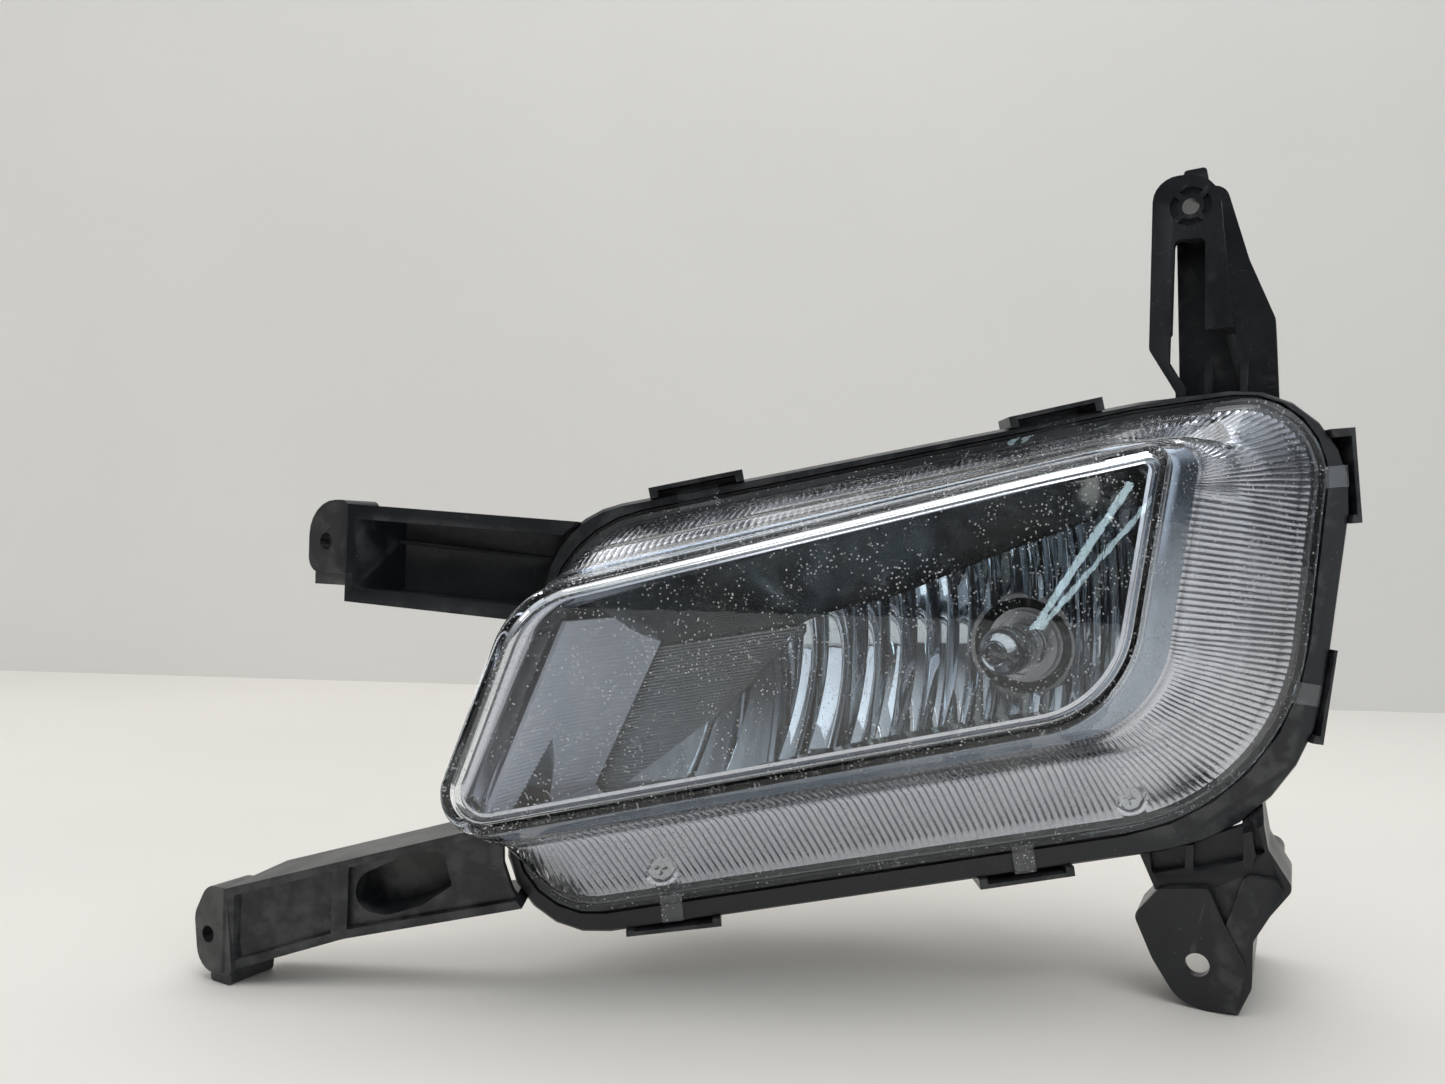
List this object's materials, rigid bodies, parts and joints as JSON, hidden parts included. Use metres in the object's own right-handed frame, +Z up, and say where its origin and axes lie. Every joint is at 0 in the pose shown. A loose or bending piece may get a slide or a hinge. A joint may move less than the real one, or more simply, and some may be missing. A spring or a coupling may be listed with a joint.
{
  "type": "corner fog light",
  "caption": "Front corner fog light with a clear fluted lens, a faceted reflector, a bayonet bulb, an aiming screw and four bracket arms.",
  "frame": {"origin": "centre of the upper outer fixing hole, on its front face", "axes": "-Y is straight ahead of the vehicle, +X is outboard and +Z is up; the lens is swept 28 degrees towards the outer side"},
  "size_m": [0.2446, 0.1589, 0.2035],
  "materials": {
    "black_plastic": "moulded, slightly scuffed",
    "clear_plastic": "clear, lightly dusted",
    "sealant": "dull black bead",
    "silver_plastic": "satin silver coat over plastic",
    "bright_coat": "bright metal coat over plastic",
    "steel": "zinc plated",
    "screw_metal": "yellow passivated",
    "nylon": "natural",
    "bulb_glass": "clear",
    "tungsten": "drawn wire",
    "collar_metal": "pressed",
    "bulb_plastic": "heat resistant",
    "blade_metal": "tinned",
    "seal_rubber": "soft",
    "membrane": "porous sheet"
  },
  "bodies": {
    "lamp": {"housing": "black_plastic", "arm_upper_inner": "black_plastic", "arm_lower_inner": "black_plastic", "arm_upper_outer": "black_plastic", "arm_lower_outer": "black_plastic", "lens": "clear_plastic", "lens_sealant": "sealant", "inner_bezel": "silver_plastic", "side_panel": "bright_coat", "bezel_screws": "steel", "reflector_pivot_pins": "steel", "vent_cap": "black_plastic", "vent_membrane": "membrane"},
    "reflector": {"reflector": "bright_coat", "aim_nut": "nylon"},
    "aim_screw": {"aim_screw": "screw_metal", "aim_screw_clip": "steel", "aim_screw_o_ring": "seal_rubber"},
    "bulb": {"bulb_base": "bulb_plastic", "bulb_glass": "bulb_glass", "bulb_collar": "collar_metal", "bulb_filament": "tungsten", "filament_supports": "tungsten", "bulb_terminals": "blade_metal", "bulb_o_ring": "seal_rubber"}
  },
  "joints": [
    {"name": "bulb_turn", "type": "hinge", "parent": "lamp", "child": "bulb", "pos_m": [-0.0375, 0.0134, -0.111], "axis": [0, 1, 0], "range_deg": [0, 45]},
    {"name": "reflector_tilt", "type": "hinge", "parent": "lamp", "child": "reflector", "pos_m": [-0.0375, -0.0066, -0.111], "axis": [1, 0, 0], "range_deg": [-2, 2]},
    {"name": "aim_screw_turn", "type": "hinge", "parent": "lamp", "child": "aim_screw", "pos_m": [-0.0735, 0.0054, -0.144], "axis": [0, 1, 0], "range_deg": [-280, 280]}
  ],
  "couplings": [
    {"joint": "aim_screw_turn", "follows": "reflector_tilt", "ratio": -138.23}
  ]
}
